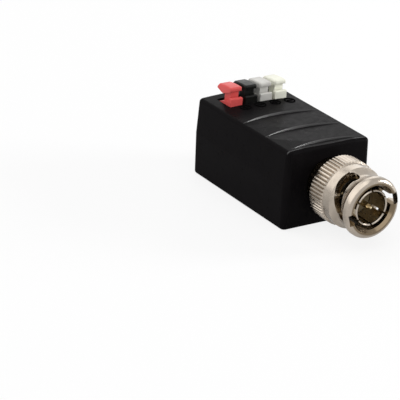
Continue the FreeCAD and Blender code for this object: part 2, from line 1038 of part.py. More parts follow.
def main():
    os.makedirs("parts", exist_ok=True)
    pieces = {
        "upper_shell": upper_shell(),
        "lower_shell": lower_shell(),
        "circuit_board": circuit_board(),
        "plug_body": plug_body(),
        "outer_contact": outer_contact(),
        "dielectric": dielectric(),
        "centre_pin": centre_pin(),
        "seal_ring": seal_ring(),
        "coupling_nut": coupling_nut(),
        "keeper_ring": keeper_ring(),
        "thrust_washer": thrust_washer(),
        "spring_washer": spring_washer(),
        "balun_core": balun_core(),
        "balun_winding": balun_winding(),
        "surge_suppressor": surge_suppressor(),
        "disc_capacitor": disc_capacitor(),
        "chip_resistors": chip_resistors(),
    }
    for name, x in zip(pole_names, pole_places()):
        pieces["terminal_base_" + name] = terminal_base(x)
        pieces["push_lever_" + name] = push_lever(x)
        pieces["clamp_spring_" + name] = clamp_spring(x)
        pieces["contact_bar_" + name] = contact_bar(x)
    for name, shape in pieces.items():
        shape.translate(origin_shift)
        shape.exportStep("parts/" + name + ".step")
        box = shape.BoundBox
        print(
            f"{name:22s} valid {shape.isValid()} solids {len(shape.Solids)}"
            f" volume {shape.Volume:9.3f}"
            f" x {box.XMin:.2f} {box.XMax:.2f} y {box.YMin:.2f} {box.YMax:.2f}"
            f" z {box.ZMin:.2f} {box.ZMax:.2f}"
        )


main()
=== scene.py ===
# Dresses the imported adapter: moulded case, nickel-plated plug, coloured terminal
# levers and the electronics inside, on a plain pale floor under soft light.
import math

import bmesh
import bpy
from bpy.props import FloatProperty, FloatVectorProperty, IntProperty, PointerProperty
from mathutils import Matrix, Vector


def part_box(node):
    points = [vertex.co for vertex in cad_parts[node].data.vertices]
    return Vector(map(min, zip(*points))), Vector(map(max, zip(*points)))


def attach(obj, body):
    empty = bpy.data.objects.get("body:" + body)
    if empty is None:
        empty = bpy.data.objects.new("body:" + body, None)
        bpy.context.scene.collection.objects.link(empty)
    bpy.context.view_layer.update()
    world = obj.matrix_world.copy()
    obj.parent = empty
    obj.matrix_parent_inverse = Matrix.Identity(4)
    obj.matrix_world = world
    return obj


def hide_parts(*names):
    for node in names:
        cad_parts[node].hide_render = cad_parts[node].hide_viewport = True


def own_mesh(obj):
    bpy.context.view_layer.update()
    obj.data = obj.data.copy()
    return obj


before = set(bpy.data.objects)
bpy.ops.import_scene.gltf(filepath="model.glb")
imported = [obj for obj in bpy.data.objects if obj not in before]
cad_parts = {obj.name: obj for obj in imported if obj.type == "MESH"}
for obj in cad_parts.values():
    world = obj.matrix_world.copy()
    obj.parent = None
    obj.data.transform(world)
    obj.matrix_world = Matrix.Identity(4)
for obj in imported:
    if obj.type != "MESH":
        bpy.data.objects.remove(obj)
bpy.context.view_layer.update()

bl_info = {
    "name": "Coaxial Terminal Adapter",
    "version": (1, 0, 0),
    "blender": (4, 5, 0),
    "location": "View3D > Sidebar > Adapter",
    "description": "Finishes for a coaxial plug to push terminal adapter, and its stage",
    "category": "Object",
}

MM = 0.001
PLUG_AXIS = 9.8 * MM
CROWN_RISE = 0.45 * MM
CORE_BORE = 2.3 * MM
# Width over which the painted shade inside the plug fades into the bright plate.
SHADE_FADE = 0.25 * MM
TOUCH = 0.001 * MM
POLES = ("red", "black", "grey", "white")


# Settings


class CaseSettings(bpy.types.PropertyGroup):
    """How the moulded case looks"""

    colour: FloatVectorProperty(
        name="Case colour",
        description="Colour of the moulded case",
        subtype="COLOR",
        size=3,
        min=0.0,
        max=1.0,
        default=(0.0056, 0.005, 0.0054),
    )
    roughness: FloatProperty(
        name="Roughness",
        description="How matte the moulded surface is",
        subtype="FACTOR",
        min=0.0,
        max=1.0,
        default=0.32,
    )
    sheen: FloatProperty(
        name="Reflection",
        description="How strongly the moulded surface reflects what is round it",
        subtype="FACTOR",
        min=0.0,
        max=1.0,
        default=0.012,
    )
    polish: FloatProperty(
        name="Grip reflection",
        description="How strongly the edges of the grip steps reflect, polished by fingers",
        subtype="FACTOR",
        min=0.0,
        max=1.0,
        default=0.6,
    )
    grain: FloatProperty(
        name="Grain depth",
        description="Depth of the fine grain that the mould leaves",
        subtype="DISTANCE",
        unit="LENGTH",
        min=0.0,
        default=0.015 * MM,
    )


class PlugSettings(bpy.types.PropertyGroup):
    """How the plug's metal and insulator look"""

    nickel: FloatVectorProperty(
        name="Nickel colour",
        description="Colour of the nickel plate on the plug and its nut",
        subtype="COLOR",
        size=3,
        min=0.0,
        max=1.0,
        default=(0.4, 0.35, 0.295),
    )
    # Painted shade: a darker brown painted on the nickel inside the nut and down its tracks,
    # standing in for the shade in those hollows.
    recess_shade: FloatVectorProperty(
        name="Recess colour",
        description="Colour of the dull, thin plate inside the nut and down its tracks",
        subtype="COLOR",
        size=3,
        min=0.0,
        max=1.0,
        default=(0.17, 0.13, 0.085),
    )
    # Painted shade: a darker colour painted on the contact sleeve behind its mouth, standing in
    # for the shade inside the sleeve.
    bore: FloatVectorProperty(
        name="Bore colour",
        description="Colour of the dull plate inside the contact sleeve",
        subtype="COLOR",
        size=3,
        min=0.0,
        max=1.0,
        default=(0.42, 0.35, 0.24),
    )
    # How far from the plug's axis the painted shade reaches.
    shade_radius: FloatProperty(
        name="Recess radius",
        description="Distance from the plug's axis at which the dull plate ends",
        subtype="DISTANCE",
        unit="LENGTH",
        min=0.0,
        default=5.7 * MM,
    )
    polish: FloatProperty(
        name="Nickel roughness",
        description="How blurred the reflections in the nickel plate are",
        subtype="FACTOR",
        min=0.0,
        max=1.0,
        default=0.2,
    )
    gold: FloatVectorProperty(
        name="Pin colour",
        description="Colour of the plate on the centre contact",
        subtype="COLOR",
        size=3,
        min=0.0,
        max=1.0,
        default=(0.72, 0.6, 0.38),
    )
    # Partly the insulator's own colour and partly painted shade: kept dark brown to stand in for
    # the shade deep inside the sleeve.
    insulator: FloatVectorProperty(
        name="Insulator colour",
        description="Colour of the insulator round the centre contact",
        subtype="COLOR",
        size=3,
        min=0.0,
        max=1.0,
        default=(0.23, 0.19, 0.125),
    )


class PoleSettings(bpy.types.PropertyGroup):
    """How the four poles and their levers look"""

    red: FloatVectorProperty(
        name="First pole",
        description="Colour of the first pole and its lever",
        subtype="COLOR",
        size=3,
        min=0.0,
        max=1.0,
        default=(0.64, 0.088, 0.084),
    )
    black: FloatVectorProperty(
        name="Second pole",
        description="Colour of the second pole and its lever",
        subtype="COLOR",
        size=3,
        min=0.0,
        max=1.0,
        default=(0.0045, 0.0045, 0.004),
    )
    grey: FloatVectorProperty(
        name="Third pole",
        description="Colour of the third pole and its lever",
        subtype="COLOR",
        size=3,
        min=0.0,
        max=1.0,
        default=(0.53, 0.52, 0.49),
    )
    white: FloatVectorProperty(
        name="Fourth pole",
        description="Colour of the fourth pole and its lever",
        subtype="COLOR",
        size=3,
        min=0.0,
        max=1.0,
        default=(0.8, 0.8, 0.69),
    )
    gloss: FloatProperty(
        name="Roughness",
        description="How matte the coloured plastic is",
        subtype="FACTOR",
        min=0.0,
        max=1.0,
        default=0.38,
    )


class CoilSettings(bpy.types.PropertyGroup):
    """How the ferrite ring is wound"""

    turns: IntProperty(
        name="Turns",
        description="Turns of enamelled wire round the ferrite ring",
        min=3,
        default=26,
    )
    wire: FloatProperty(
        name="Wire thickness",
        description="Diameter of the enamelled wire",
        subtype="DISTANCE",
        unit="LENGTH",
        default=0.42 * MM,
    )
    open_angle: FloatProperty(
        name="Open angle",
        description="Angle of the ring that the winding leaves bare",
        subtype="ANGLE",
        unit="ROTATION",
        default=math.radians(58),
    )


class SpringSettings(bpy.types.PropertyGroup):
    """Sizes of the coned washer and the clamp strips"""

    washer: FloatProperty(
        name="Washer thickness",
        description="Thickness of the coned washer's steel along the plug's axis",
        subtype="DISTANCE",
        unit="LENGTH",
        default=0.22 * MM,
    )
    washer_width: FloatProperty(
        name="Washer width",
        description="Width of the coned washer from its bore to its rim",
        subtype="DISTANCE",
        unit="LENGTH",
        default=0.64 * MM,
    )
    slack: FloatProperty(
        name="Slack",
        description="Share of the room left at full pull that the washer fills",
        subtype="FACTOR",
        min=0.5,
        max=1.0,
        default=0.94,
    )
    strip: FloatProperty(
        name="Strip thickness",
        description="Thickness of a clamp strip",
        subtype="DISTANCE",
        unit="LENGTH",
        default=0.3 * MM,
    )
    bend: FloatProperty(
        name="Bend",
        description="Height and depth of the slope over a strip's first bend",
        subtype="DISTANCE",
        unit="LENGTH",
        default=1.0 * MM,
    )
    flat: FloatProperty(
        name="Flat",
        description="Length of the level run under the lever's foot",
        subtype="DISTANCE",
        unit="LENGTH",
        default=1.1 * MM,
    )
    drop: FloatProperty(
        name="Drop",
        description="Height from a strip's level run down to its tip",
        subtype="DISTANCE",
        unit="LENGTH",
        default=2.45 * MM,
    )


class CapSettings(bpy.types.PropertyGroup):
    """Sizes of the chip resistors' ends"""

    width: FloatProperty(
        name="Resistor width",
        description="Width of a chip resistor",
        subtype="DISTANCE",
        unit="LENGTH",
        default=1.6 * MM,
    )
    length: FloatProperty(
        name="End length",
        description="Length of the tinned end of a chip resistor",
        subtype="DISTANCE",
        unit="LENGTH",
        default=0.5 * MM,
    )
    proud: FloatProperty(
        name="Tin thickness",
        description="How far the tin stands out from the chip",
        subtype="DISTANCE",
        unit="LENGTH",
        default=0.03 * MM,
    )


class MarkSettings(bpy.types.PropertyGroup):
    """Sizes of the marks in front of the poles"""

    radius: FloatProperty(
        name="Ring radius",
        description="Outer radius of the ring round each pole mark",
        subtype="DISTANCE",
        unit="LENGTH",
        default=1.3 * MM,
    )
    stroke: FloatProperty(
        name="Stroke",
        description="Width of the ring and of the bars",
        subtype="DISTANCE",
        unit="LENGTH",
        default=0.26 * MM,
    )
    arm: FloatProperty(
        name="Arm",
        description="Reach of a bar from the middle of its mark",
        subtype="DISTANCE",
        unit="LENGTH",
        default=0.72 * MM,
    )
    rise: FloatProperty(
        name="Height",
        description="How far the marks stand above the roof",
        subtype="DISTANCE",
        unit="LENGTH",
        default=0.14 * MM,
    )
    distance: FloatProperty(
        name="Distance",
        description="Distance from the terminal row to the middle of the marks",
        subtype="DISTANCE",
        unit="LENGTH",
        default=1.85 * MM,
    )
    offset: FloatProperty(
        name="Offset",
        description="Sideways step from each pole to its mark",
        subtype="DISTANCE",
        unit="LENGTH",
        default=1.2 * MM,
    )


class StageSettings(bpy.types.PropertyGroup):
    """The camera and the floor"""

    aim: FloatVectorProperty(
        name="Aim",
        description="Point that the camera looks at",
        subtype="TRANSLATION",
        unit="LENGTH",
        size=3,
        default=(-8.825 * MM, 24.764 * MM, -7.003 * MM),
    )
    azimuth: FloatProperty(
        name="Azimuth",
        description="Angle of the camera round the object, from the plug's end",
        subtype="ANGLE",
        unit="ROTATION",
        default=math.radians(-34.418),
    )
    elevation: FloatProperty(
        name="Elevation",
        description="Angle of the camera above the horizon",
        subtype="ANGLE",
        unit="ROTATION",
        default=math.radians(23.785),
    )
    roll: FloatProperty(
        name="Roll",
        description="Turn of the camera about its own line of sight",
        subtype="ANGLE",
        unit="ROTATION",
        default=math.radians(3.952),
    )
    distance: FloatProperty(
        name="Distance",
        description="Distance from the camera to its aim",
        subtype="DISTANCE",
        unit="LENGTH",
        default=435.111 * MM,
    )
    lens: FloatProperty(
        name="Lens",
        description="Focal length in millimetres on a 36 mm sensor",
        subtype="DISTANCE_CAMERA",
        unit="CAMERA",
        default=172.13,
    )
    floor: FloatVectorProperty(
        name="Floor colour",
        description="Colour of the floor",
        subtype="COLOR",
        size=3,
        min=0.0,
        max=1.0,
        default=(0.85, 0.85, 0.85),
    )


# Materials


def principled(name, colour, roughness, metallic=0.0):
    """New material with its shader's plain values set."""
    material = bpy.data.materials.new(name)
    material.use_nodes = True
    shader = material.node_tree.nodes["Principled BSDF"]
    shader.inputs["Base Color"].default_value = (*colour, 1.0)
    shader.inputs["Roughness"].default_value = roughness
    shader.inputs["Metallic"].default_value = metallic
    return material, shader


def noise(material, size, detail=2.0, stretch=(1.0, 1.0, 1.0)):
    """Noise on the object's own coordinates, with features of about one size."""
    nodes = material.node_tree.nodes
    links = material.node_tree.links
    place = nodes.new("ShaderNodeTexCoord")
    mapping = nodes.new("ShaderNodeMapping")
    mapping.inputs["Scale"].default_value = stretch
    texture = nodes.new("ShaderNodeTexNoise")
    texture.inputs["Scale"].default_value = 1.0 / size
    texture.inputs["Detail"].default_value = detail
    links.new(place.outputs["Object"], mapping.inputs["Vector"])
    links.new(mapping.outputs["Vector"], texture.inputs["Vector"])
    return texture.outputs["Fac"]


def ranged(material, value, low, high):
    """Noise, which lies mostly between 0.3 and 0.7, brought into a range."""
    spread = material.node_tree.nodes.new("ShaderNodeMapRange")
    spread.inputs["From Min"].default_value = 0.3
    spread.inputs["From Max"].default_value = 0.7
    spread.inputs["To Min"].default_value = low
    spread.inputs["To Max"].default_value = high
    material.node_tree.links.new(value, spread.inputs["Value"])
    return spread.outputs["Result"]


def vary_roughness(material, shader, size, low, high, stretch=(1.0, 1.0, 1.0)):
    """Uneven gloss."""
    value = ranged(material, noise(material, size, stretch=stretch), low, high)
    material.node_tree.links.new(value, shader.inputs["Roughness"])


def vary_colour(material, shader, size, colour, other):
    """Uneven colour between two close ones."""
    mix = material.node_tree.nodes.new("ShaderNodeMix")
    mix.data_type = "RGBA"
    mix.inputs["A"].default_value = (*colour, 1.0)
    mix.inputs["B"].default_value = (*other, 1.0)
    value = ranged(material, noise(material, size), 0.0, 1.0)
    material.node_tree.links.new(value, mix.inputs["Factor"])
    material.node_tree.links.new(mix.outputs["Result"], shader.inputs["Base Color"])


def grain(material, shader, size, depth, stretch=(1.0, 1.0, 1.0)):
    """Fine relief in the surface."""
    bump = material.node_tree.nodes.new("ShaderNodeBump")
    bump.inputs["Distance"].default_value = depth
    value = noise(material, size, 3.0, stretch)
    material.node_tree.links.new(value, bump.inputs["Height"])
    material.node_tree.links.new(bump.outputs["Normal"], shader.inputs["Normal"])


def scaled(colour, share):
    """Colour made darker or lighter by a share."""
    return tuple(min(1.0, channel * share) for channel in colour)


def moulded(name, colour, roughness, grain_size, depth):
    """Injection-moulded plastic: faint clouds of colour and gloss over a fine grain."""
    material, shader = principled(name, colour, roughness)
    vary_colour(material, shader, 3 * MM, scaled(colour, 0.93), scaled(colour, 1.07))
    vary_roughness(material, shader, 1.5 * MM, roughness - 0.05, roughness + 0.06)
    grain(material, shader, grain_size, depth)
    return material


def plated(name, colour, roughness):
    """Plated metal with faint cloudiness and turning marks round the plug's axis."""
    material, shader = principled(name, colour, roughness, 1.0)
    vary_colour(material, shader, 2.5 * MM, scaled(colour, 0.92), scaled(colour, 1.08))
    vary_roughness(material, shader, 0.8 * MM, roughness - 0.05, roughness + 0.08)
    grain(material, shader, 0.12 * MM, 0.0012 * MM, (0.12, 1.0, 0.12))
    return material


def edge_polish(material, low, high, front):
    """Stronger reflection where the top turns over, behind a place along its length."""
    gentle, steep = -0.05, -0.22
    nodes = material.node_tree.nodes
    links = material.node_tree.links
    geometry = nodes.new("ShaderNodeNewGeometry")
    normal = nodes.new("ShaderNodeSeparateXYZ")
    turned = nodes.new("ShaderNodeMath")
    turned.operation = "MULTIPLY"
    share = nodes.new("ShaderNodeMapRange")
    share.inputs["From Min"].default_value = gentle
    share.inputs["From Max"].default_value = steep
    coordinates = nodes.new("ShaderNodeTexCoord")
    place = nodes.new("ShaderNodeSeparateXYZ")
    behind = nodes.new("ShaderNodeMath")
    behind.operation = "GREATER_THAN"
    behind.inputs[1].default_value = front
    both = nodes.new("ShaderNodeMath")
    both.operation = "MULTIPLY"
    level = nodes.new("ShaderNodeMapRange")
    level.inputs["To Min"].default_value = low
    level.inputs["To Max"].default_value = high
    links.new(geometry.outputs["Normal"], normal.inputs["Vector"])
    links.new(normal.outputs["Y"], turned.inputs[0])
    links.new(normal.outputs["Z"], turned.inputs[1])
    links.new(turned.outputs["Value"], share.inputs["Value"])
    links.new(coordinates.outputs["Object"], place.inputs["Vector"])
    links.new(place.outputs["Y"], behind.inputs[0])
    links.new(share.outputs["Result"], both.inputs[0])
    links.new(behind.outputs["Value"], both.inputs[1])
    links.new(both.outputs["Value"], level.inputs["Value"])
    shader = nodes["Principled BSDF"]
    links.new(level.outputs["Result"], shader.inputs["Specular IOR Level"])


def paint_shade(material, colour, near, far, place=(0, 0, -PLUG_AXIS), keep=(1, 0, 1)):
    """Paints shade on a plate up to a distance, measured from a place along the axes kept: a
    darker colour that stands in for the shade in a hollow.
    """
    nodes = material.node_tree.nodes
    links = material.node_tree.links
    shader = nodes["Principled BSDF"]
    bright = shader.inputs["Base Color"].links[0].from_socket
    coordinates = nodes.new("ShaderNodeTexCoord")
    mapping = nodes.new("ShaderNodeMapping")
    mapping.inputs["Location"].default_value = [at * on for at, on in zip(place, keep)]
    mapping.inputs["Scale"].default_value = keep
    length = nodes.new("ShaderNodeVectorMath")
    length.operation = "LENGTH"
    share = nodes.new("ShaderNodeMapRange")
    share.inputs["From Min"].default_value = near
    share.inputs["From Max"].default_value = far
    mix = nodes.new("ShaderNodeMix")
    mix.data_type = "RGBA"
    mix.inputs["A"].default_value = (*colour, 1.0)
    links.new(coordinates.outputs["Object"], mapping.inputs["Vector"])
    links.new(mapping.outputs["Vector"], length.inputs[0])
    links.new(length.outputs["Value"], share.inputs["Value"])
    links.new(share.outputs["Result"], mix.inputs["Factor"])
    links.new(bright, mix.inputs["B"])
    links.new(mix.outputs["Result"], shader.inputs["Base Color"])


def dress(nodes, material):
    """Gives CAD nodes their material."""
    for name in nodes:
        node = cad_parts[name]
        for index in range(len(node.material_slots)):
            node.material_slots[index].material = material


# Modelling helpers


def corners(name):
    """Lowest and highest corner of a CAD node."""
    return [Vector(corner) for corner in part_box(name)]


def deselect():
    """Leaves edit mode, with nothing selected."""
    if bpy.context.object and bpy.context.object.mode != "OBJECT":
        bpy.ops.object.mode_set(mode="OBJECT")
    bpy.ops.object.select_all(action="DESELECT")


def settle(piece, name, material, body):
    """Names a finished piece and gives it its place, finish and body."""
    deselect()
    piece.select_set(True)
    bpy.context.view_layer.objects.active = piece
    bpy.ops.object.transform_apply(location=True, rotation=True, scale=True)
    piece.name = name
    piece.data.materials.clear()
    piece.data.materials.append(material)
    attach(piece, body)
    return piece


def copied(piece, step):
    """Separate copy of a piece, moved by a step."""
    deselect()
    piece.select_set(True)
    bpy.context.view_layer.objects.active = piece
    bpy.ops.object.duplicate(linked=False)
    bpy.ops.transform.translate(value=step)
    return bpy.context.object


def joined(pieces):
    """Pieces made one, in the last one's place."""
    deselect()
    for piece in pieces:
        piece.select_set(True)
    bpy.context.view_layer.objects.active = pieces[-1]
    bpy.ops.object.join()
    return pieces[-1]


def open_mesh():
    """Fixes a new primitive's place and size, and opens it in edit mode."""
    bpy.ops.object.transform_apply(location=True, rotation=True, scale=True)
    bpy.ops.object.mode_set(mode="EDIT")


def close_mesh():
    """Turns every face outwards and leaves edit mode."""
    bpy.ops.mesh.select_all(action="SELECT")
    bpy.ops.mesh.normals_make_consistent(inside=False)
    bpy.ops.object.mode_set(mode="OBJECT")


def pick(test):
    """Selects only the faces that pass a test, in edit mode."""
    bpy.ops.mesh.select_mode(type="FACE")
    data = bpy.context.object.data
    mesh = bmesh.from_edit_mesh(data)
    for face in mesh.faces:
        face.select_set(test(face.normal, face.calc_center_median()))
    mesh.select_flush_mode()
    bmesh.update_edit_mesh(data)


def pick_edges(test):
    """Selects only the edges whose two ends pass a test, in edit mode."""
    bpy.ops.mesh.select_mode(type="EDGE")
    data = bpy.context.object.data
    mesh = bmesh.from_edit_mesh(data)
    for edge in mesh.edges:
        edge.select_set(test(*(corner.co for corner in edge.verts)))
    mesh.select_flush_mode()
    bmesh.update_edit_mesh(data)


def in_plane(a, b, y):
    """Whether two points lie in a plane across the plug's axis."""
    return abs(a.y - y) < TOUCH and abs(b.y - y) < TOUCH


def extrude(*value):
    """Draws what is selected out along a way."""
    bpy.ops.mesh.extrude_region_move(TRANSFORM_OT_translate={"value": value})


# Operators


class ADAPTER_OT_case(bpy.types.Operator):
    """Give the case its matte black moulded finish"""

    bl_idname = "adapter.case"
    bl_label = "Case"

    def execute(self, context):
        settings = context.scene.adapter_case
        material = moulded(
            "case_black",
            tuple(settings.colour),
            settings.roughness,
            0.18 * MM,
            settings.grain,
        )
        front = corners("upper_shell")[0].y + 1.0 * MM
        edge_polish(material, settings.sheen, settings.polish, front)
        dress(("upper_shell", "lower_shell"), material)
        return {"FINISHED"}


class ADAPTER_OT_plug(bpy.types.Operator):
    """Give the plug and its nut their plated finishes"""

    bl_idname = "adapter.plug"
    bl_label = "Plug"

    def execute(self, context):
        settings = context.scene.adapter_plug
        recess_shade = tuple(settings.recess_shade)
        edge = settings.shade_radius
        nickel = plated("nickel_plate", tuple(settings.nickel), settings.polish)
        # Painted shade: the nut's bore and tracks near the plug's axis take the darker colour.
        paint_shade(nickel, recess_shade, edge, edge + SHADE_FADE)
        dress(("coupling_nut", "plug_body", "keeper_ring"), nickel)
        sleeve = plated("sleeve_plate", tuple(settings.nickel), settings.polish)
        mouth = corners("outer_contact")[0].y
        depth = 0.35 * MM
        # Painted shade: the sleeve, deeper than its mouth, takes the darker bore colour.
        paint_shade(sleeve, tuple(settings.bore), depth + SHADE_FADE, depth, (0, -mouth, 0), (0, 1, 0))
        dress(("outer_contact",), sleeve)
        dress(("centre_pin",), plated("pin_plate", tuple(settings.gold), 0.2))
        steel = plated("spring_steel", (0.5, 0.5, 0.51), 0.28)
        springs = ["clamp_spring_" + pole for pole in POLES]
        dress(["thrust_washer", "spring_washer"] + springs, steel)
        # Dark brown insulator: partly its own colour, partly painted shade.
        insulator = moulded("insulator", tuple(settings.insulator), 0.35, 0.3 * MM, 0.004 * MM)
        dress(("dielectric",), insulator)
        rubber = moulded("seal_rubber", (0.02, 0.02, 0.02), 0.62, 0.1 * MM, 0.01 * MM)
        dress(("seal_ring",), rubber)
        return {"FINISHED"}


class ADAPTER_OT_poles(bpy.types.Operator):
    """Colour the terminal row's poles and levers"""

    bl_idname = "adapter.poles"
    bl_label = "Terminal row"

    def execute(self, context):
        settings = context.scene.adapter_poles
        tin = plated("tin_plate", (0.62, 0.62, 0.6), 0.3)
        for pole in POLES:
            colour = tuple(getattr(settings, pole))
            plastic = moulded("pole_" + pole, colour, settings.gloss, 0.25 * MM, 0.006 * MM)
            shader = plastic.node_tree.nodes["Principled BSDF"]
            shader.inputs["Specular IOR Level"].default_value = 0.15
            dress(("terminal_base_" + pole, "push_lever_" + pole), plastic)
            dress(("contact_bar_" + pole,), tin)
        return {"FINISHED"}


class ADAPTER_OT_board(bpy.types.Operator):
    """Finish the circuit board and the parts on it"""

    bl_idname = "adapter.board"
    bl_label = "Circuit board"

    def execute(self, context):
        mask = moulded("solder_mask", (0.012, 0.1, 0.035), 0.3, 0.5 * MM, 0.004 * MM)
        dress(("circuit_board",), mask)
        ferrite = moulded("ferrite", (0.05, 0.048, 0.05), 0.7, 0.12 * MM, 0.02 * MM)
        dress(("balun_core",), ferrite)
        copper = plated("enamelled_copper", (0.55, 0.2, 0.07), 0.25)
        dress(("balun_winding",), copper)
        epoxy = moulded("moulded_epoxy", (0.02, 0.02, 0.021), 0.45, 0.12 * MM, 0.012 * MM)
        dress(("surge_suppressor", "chip_resistors"), epoxy)
        amber = moulded("dip_coat", (0.42, 0.16, 0.02), 0.28, 0.6 * MM, 0.02 * MM)
        dress(("disc_capacitor",), amber)
        return {"FINISHED"}


class ADAPTER_OT_coil(bpy.types.Operator):
    """Wind the ferrite ring with turns of enamelled wire"""

    bl_idname = "adapter.coil"
    bl_label = "Coil"

    def execute(self, context):
        settings = context.scene.adapter_coil
        low, high = corners("balun_core")
        centre = (low + high) / 2
        wire = settings.wire / 2
        outside = (high.x - low.x) / 2
        half_height = (high.z - low.z) / 2 + wire
        half_width = (outside - CORE_BORE) / 2 + wire
        middle = (outside + CORE_BORE) / 2
        bend = settings.wire
        self.wind(centre + Vector((middle, 0, 0)), half_width, half_height, wire, bend)
        turns = [context.object]
        spread = math.radians(360) - settings.open_angle
        step = spread / (settings.turns - 1)
        self.swing(settings.open_angle / 2, centre)
        for _ in range(settings.turns - 1):
            bpy.ops.object.duplicate(linked=False)
            self.swing(step, centre)
            turns.append(context.object)
        copper = bpy.data.materials["enamelled_copper"]
        winding = settle(joined(turns), "coil_turns", copper, "case")
        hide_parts("balun_winding")
        return {"FINISHED"}

    def wind(self, middle, half_width, half_height, wire, bend):
        """Runs a round wire once about the ring's section."""
        deselect()
        bpy.ops.mesh.primitive_circle_add(
            vertices=8,
            radius=wire,
            location=middle + Vector((half_width, 0, bend - half_height)),
        )
        bpy.ops.object.mode_set(mode="EDIT")
        bpy.ops.mesh.select_all(action="SELECT")
        up, across = 2 * (half_height - bend), 2 * (half_width - bend)
        for run, x, z in (
            ((0, 0, up), 1, 1),
            ((-across, 0, 0), -1, 1),
            ((0, 0, -up), -1, -1),
            ((across, 0, 0), 1, -1),
        ):
            extrude(*run)
            pivot = Vector((x * (half_width - bend), 0, z * (half_height - bend)))
            bpy.ops.mesh.spin(
                steps=3,
                angle=math.radians(90),
                center=middle + pivot,
                axis=(0, 1, 0),
            )
        bpy.ops.mesh.select_all(action="SELECT")
        bpy.ops.mesh.remove_doubles(threshold=wire / 20)
        bpy.ops.mesh.faces_shade_smooth()
        close_mesh()

    def swing(self, angle, centre):
        """Turns the selected wire about the ring's axis."""
        bpy.ops.transform.rotate(value=angle, orient_axis="Z", center_override=centre)


class ADAPTER_OT_springs(bpy.types.Operator):
    """Make the springs that the nut's pull and the levers press on: a coned washer and a clamp
    strip per pole
    """

    bl_idname = "adapter.springs"
    bl_label = "Springs"

    def execute(self, context):
        settings = context.scene.adapter_springs
        steel = bpy.data.materials["spring_steel"]
        low, high = corners("spring_washer")
        cone = settle(self.cone(low, high, settings), "coned_spring", steel, "case")
        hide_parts("spring_washer")
        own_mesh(cone)
        low, high = corners("clamp_spring_red")
        first = self.strip(low, high, settings)
        for pole in POLES:
            here = corners("clamp_spring_" + pole)[0]
            strip = copied(first, (here.x - low.x, 0, 0))
            settle(strip, "clamp_strip_" + pole, steel, "case")
            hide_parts("clamp_spring_" + pole)
            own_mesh(strip)
        bpy.data.objects.remove(first)
        return {"FINISHED"}

    def cone(self, low, high, settings):
        """Ring of spring steel that rises from its bore to its rim."""
        steel = settings.washer
        rim = (high.x - low.x) / 2
        deselect()
        bpy.ops.mesh.primitive_circle_add(
            vertices=96,
            radius=rim - settings.washer_width,
            location=(0, low.y, PLUG_AXIS),
            rotation=(math.radians(90), 0, 0),
        )
        open_mesh()
        bpy.ops.mesh.select_all(action="SELECT")
        extrude(0, steel, 0)
        extrude(0, high.y - low.y - steel, 0)
        grow = rim / (rim - settings.washer_width)
        bpy.ops.transform.resize(value=(grow, 1, grow), center_override=(0, 0, PLUG_AXIS))
        extrude(0, -steel, 0)
        pick_edges(lambda a, b: in_plane(a, b, low.y) or in_plane(a, b, high.y - steel))
        bpy.ops.mesh.bridge_edge_loops()
        close_mesh()
        bpy.ops.object.shade_smooth_by_angle(angle=math.radians(30))
        return bpy.context.object

    def strip(self, low, high, settings):
        """Strip that stands up, turns back over the cavity and slopes down to its tip."""
        bend, flat, drop = settings.bend, settings.flat, settings.drop
        width = high.x - low.x
        turn = high.z - bend
        deselect()
        bpy.ops.mesh.primitive_plane_add(
            size=width,
            location=(low.x + width / 2, low.y, low.z + width / 2),
            rotation=(math.radians(90), 0, 0),
        )
        open_mesh()
        pick_edges(lambda a, b: min(a.z, b.z) > low.z + width - TOUCH)
        slope = high.y - low.y - bend - flat
        for run in (
            (0, 0, turn - low.z - width),
            (0, bend, bend),
            (0, flat, 0),
            (0, slope, -drop),
        ):
            extrude(*run)
        pick_edges(lambda a, b: abs(a.z - b.z) < TOUCH and a.z > turn - TOUCH)
        bpy.ops.mesh.bevel(offset=settings.strip, segments=3, affect="EDGES")
        bpy.ops.mesh.select_all(action="SELECT")
        bpy.ops.object.mode_set(mode="OBJECT")
        thick = bpy.context.object.modifiers.new("thickness", "SOLIDIFY")
        thick.thickness = settings.strip
        thick.offset = -1
        thick.use_even_offset = True
        bpy.ops.object.modifier_apply(modifier="thickness")
        bpy.ops.object.shade_smooth_by_angle(angle=math.radians(30))
        return bpy.context.object


class ADAPTER_OT_caps(bpy.types.Operator):
    """Put the tinned ends on the two chip resistors"""

    bl_idname = "adapter.caps"
    bl_label = "Resistor ends"

    def execute(self, context):
        settings = context.scene.adapter_caps
        low, high = corners("chip_resistors")
        proud = settings.proud
        size = Vector((settings.width + 2 * proud, settings.length, high.z - low.z + proud))
        deselect()
        bpy.ops.mesh.primitive_cube_add(size=1.0, location=(0, 0, 0), scale=size)
        open_mesh()
        pick(lambda normal, place: normal.z > 0.9)
        bpy.ops.mesh.bevel(offset=proud * 2, segments=3, affect="EDGES")
        bpy.ops.object.mode_set(mode="OBJECT")
        first = context.object
        caps = []
        for x in (low.x + settings.width / 2, high.x - settings.width / 2):
            for y in (low.y + size.y / 2 - proud, high.y - size.y / 2 + proud):
                caps.append(copied(first, (x, y, low.z + size.z / 2)))
        bpy.data.objects.remove(first)
        settle(joined(caps), "resistor_caps", bpy.data.materials["tin_plate"], "case")
        return {"FINISHED"}


